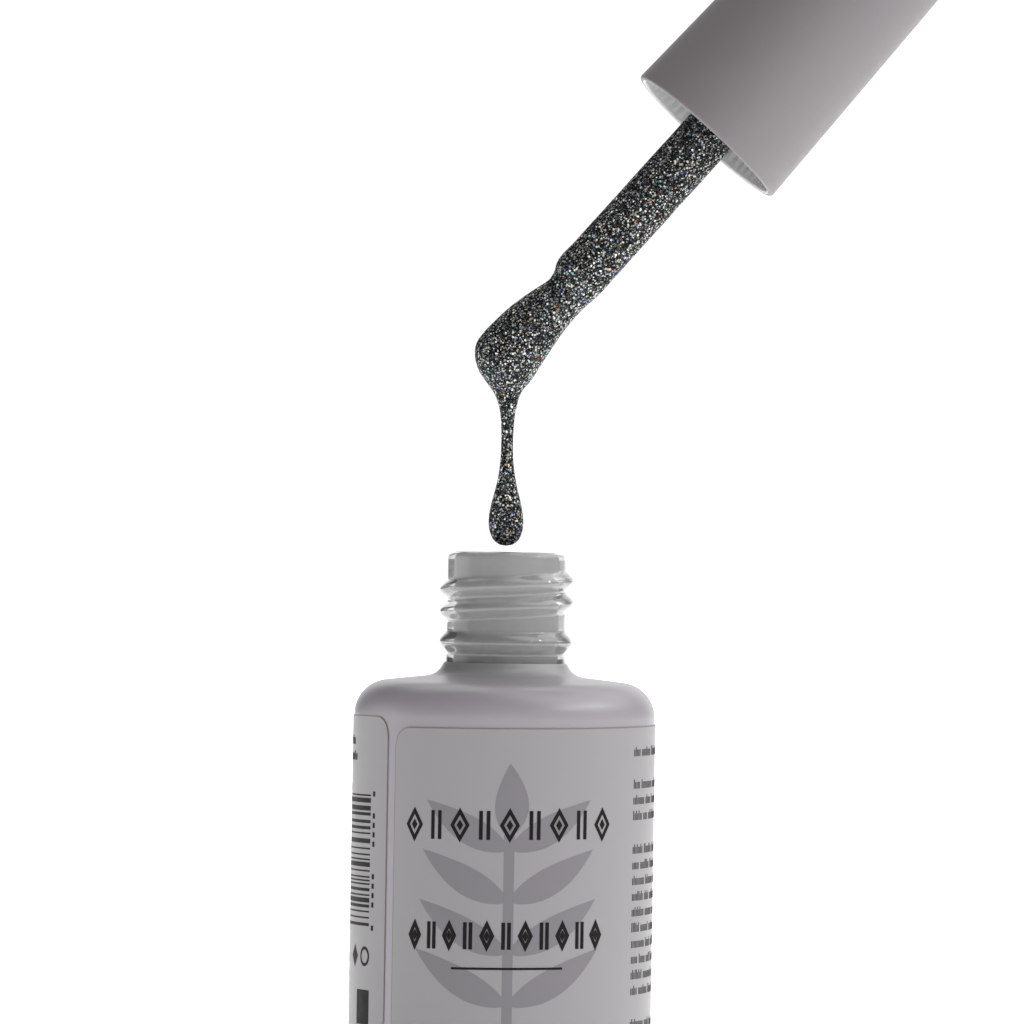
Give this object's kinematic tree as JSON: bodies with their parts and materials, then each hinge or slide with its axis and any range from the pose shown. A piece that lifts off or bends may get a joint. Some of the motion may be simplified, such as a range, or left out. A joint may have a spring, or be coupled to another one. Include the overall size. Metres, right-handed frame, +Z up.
{
  "type": "nail polish bottle",
  "caption": "Round glass polish bottle with a screw-thread neck; its ribbed-mouth overcap, inner cap, wand and loaded brush are held tilted over the open neck.",
  "frame": {"origin": "centre of the bottle's base, on the surface that the bottle stands on", "axes": "+Z up the bottle's axis; the wand leans towards +X, and the label's front faces -Y"},
  "size_m": [0.0633, 0.0292, 0.1245],
  "materials": {
    "clear_glass": "polished, clear",
    "grey_lining": "opaque grey light-block coat",
    "matte_lacquer": "matte lavender-grey sprayed lacquer",
    "label_stock": "satin film label",
    "glitter_gel": "near-black liquid gel, dense silver glitter",
    "cap_plastic": "soft-touch matte grey",
    "closure_plastic": "moulded, dark grey",
    "liner_foam": "soft sealing foam",
    "stem_plastic": "moulded black",
    "brush_filament": "fine black filament",
    "anchor_metal": "flat wire"
  },
  "bodies": {
    "bottle": {"glass_bottle": "clear_glass", "inner_lining": "grey_lining", "body_lacquer": "matte_lacquer", "wrap_label": "label_stock", "gel_fill": "glitter_gel"},
    "hanging_gel": {"gel_drop": "glitter_gel"},
    "brush_gel": {"gel_bead": "glitter_gel"},
    "liner": {"seal_liner": "liner_foam"},
    "applicator": {"overcap": "cap_plastic", "inner_cap": "closure_plastic", "stem": "stem_plastic", "bristles": "brush_filament", "brush_anchor": "anchor_metal", "gel_on_stem": "glitter_gel"}
  },
  "joints": [
    {"name": "applicator_swing", "type": "hinge", "parent": "bottle", "child": "hanging_gel", "pos_m": [0, 0, 0.07025], "axis": [0.0523, -0.9986, 0], "range_deg": [0, 41.2], "deforming": ["gel_drop"]},
    {"name": "applicator_insert", "type": "slide", "parent": "hanging_gel", "child": "brush_gel", "axis": [-0.6578, -0.0345, -0.7524], "range_m": [0, 0.05582], "deforming": ["gel_fill"]},
    {"name": "cap_draw", "type": "slide", "parent": "brush_gel", "child": "liner", "axis": [-0.6578, -0.0345, -0.7524], "range_m": [0, 0.00318], "deforming": ["gel_bead"]},
    {"name": "cap_turn", "type": "hinge", "parent": "liner", "child": "applicator", "pos_m": [0, 0, 0.07025], "axis": [-0.6578, -0.0345, -0.7524], "range_deg": [0, 540]}
  ],
  "couplings": [
    {"joint": "cap_draw", "follows": "cap_turn", "m_per_rad": 0.00033693}
  ]
}
